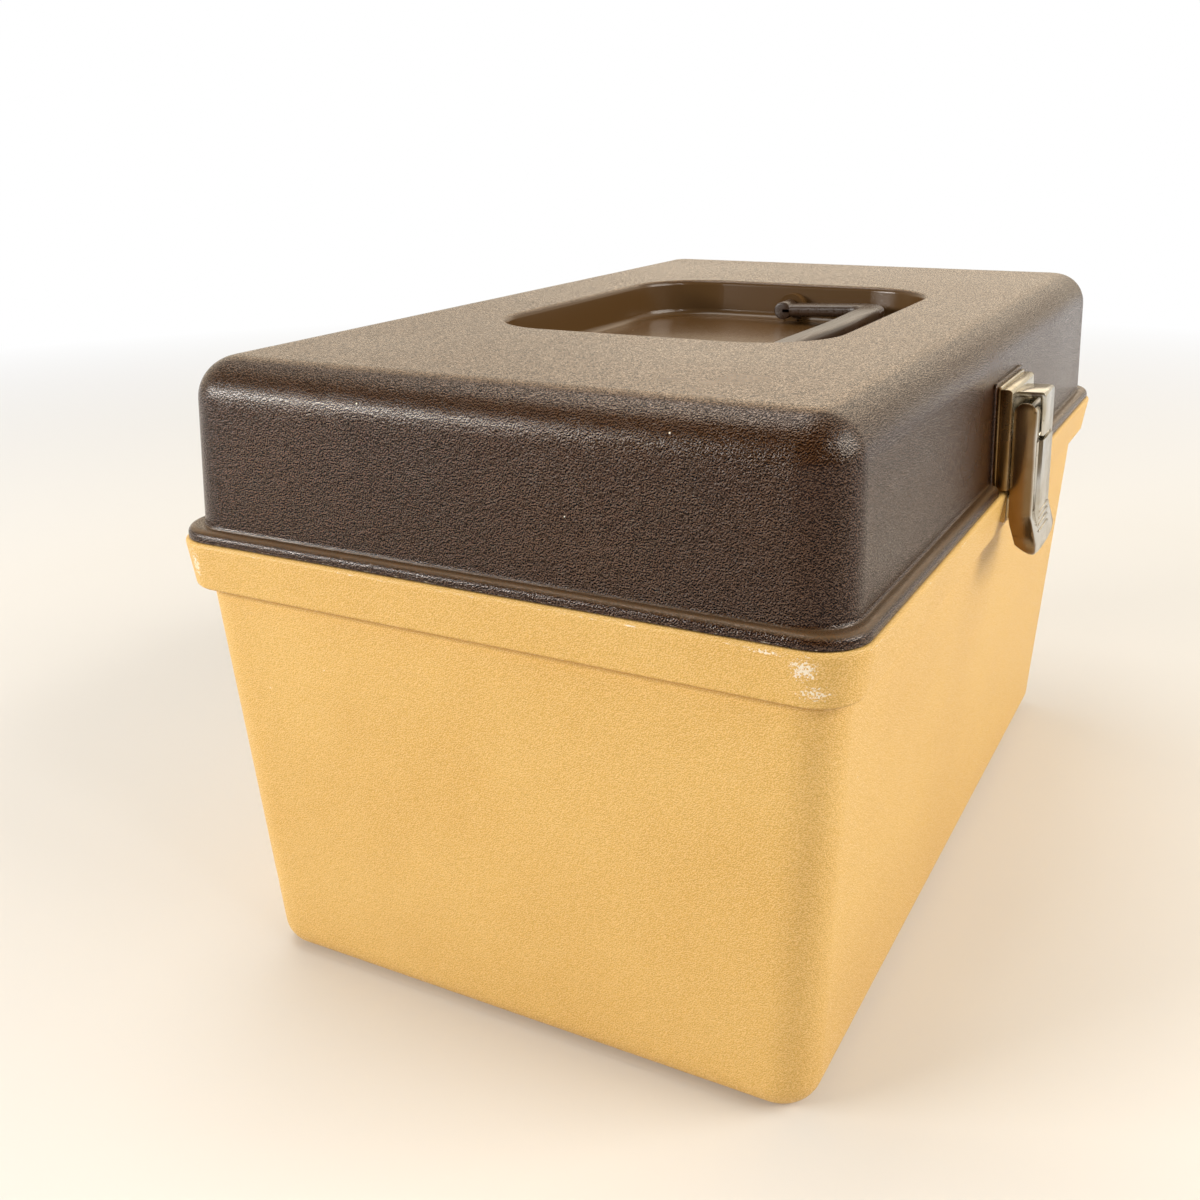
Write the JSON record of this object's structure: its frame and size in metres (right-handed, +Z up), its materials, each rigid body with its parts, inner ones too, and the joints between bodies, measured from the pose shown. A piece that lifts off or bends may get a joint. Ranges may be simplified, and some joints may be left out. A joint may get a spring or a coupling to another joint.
{
  "type": "sewing box",
  "caption": "Tan plastic sewing box with a hinged brown lid, a folding carry handle, a metal draw latch and a lift-out tray with spool pegs.",
  "frame": {"origin": "middle of the underside, on the surface that the box stands on", "axes": "+X along the length to the right as seen from the latch side, +Y from the latch towards the hinges, +Z up"},
  "size_m": [0.3552, 0.2347, 0.2044],
  "materials": {
    "lid_brown": "satin pebble grain",
    "base_tan": "satin pebble grain",
    "tray_cream": "satin",
    "latch_nickel": "worn bright plating",
    "spring_steel": "satin",
    "hinge_steel": "worn bright plating",
    "pin_steel": "satin",
    "rivet_steel": "satin"
  },
  "bodies": {
    "base": {"base_shell": "base_tan", "hinge_base_leaf_left": "hinge_steel", "hinge_base_leaf_right": "hinge_steel", "hinge_pin_left": "pin_steel", "hinge_pin_right": "pin_steel", "hinge_rivets_base": "rivet_steel", "hinge_washers_base": "rivet_steel", "latch_catch": "latch_nickel", "catch_rivets": "rivet_steel", "catch_washers": "rivet_steel"},
    "lid": {"lid_shell": "lid_brown", "hinge_lid_leaf_left": "hinge_steel", "hinge_lid_leaf_right": "hinge_steel", "hinge_rivets_lid": "rivet_steel", "hinge_washers_lid": "rivet_steel", "latch_back_plate": "latch_nickel", "latch_keeper": "latch_nickel", "latch_strap": "latch_nickel", "latch_pin": "pin_steel", "latch_rivets": "rivet_steel", "latch_backing_plate": "rivet_steel", "handle_pin_left": "pin_steel", "handle_pin_right": "pin_steel"},
    "handle": {"carry_handle": "lid_brown"},
    "latch": {"latch_lever": "latch_nickel", "latch_spring_tongue": "spring_steel"},
    "tray": {"tray_shell": "tray_cream", "spool_peg_1": "tray_cream", "spool_peg_2": "tray_cream", "spool_peg_3": "tray_cream", "spool_peg_4": "tray_cream", "spool_peg_5": "tray_cream", "spool_peg_6": "tray_cream", "spool_peg_7": "tray_cream", "spool_peg_8": "tray_cream"}
  },
  "joints": [
    {"name": "lid_hinge", "type": "hinge", "parent": "base", "child": "lid", "pos_m": [0, 0.1119, 0.15], "axis": [-1, 0, 0], "range_deg": [0, 105]},
    {"name": "handle_swing", "type": "hinge", "parent": "lid", "child": "handle", "pos_m": [0, 0, 0.1952], "axis": [-1, 0, 0], "range_deg": [0, 175]},
    {"name": "latch_swing", "type": "hinge", "parent": "lid", "child": "latch", "pos_m": [0, -0.1125, 0.17692], "axis": [-1, 0, 0], "range_deg": [0, 100]},
    {"name": "tray_lift", "type": "slide", "parent": "base", "child": "tray", "axis": [0, 0, 1], "range_m": [0, 0.03]}
  ]
}
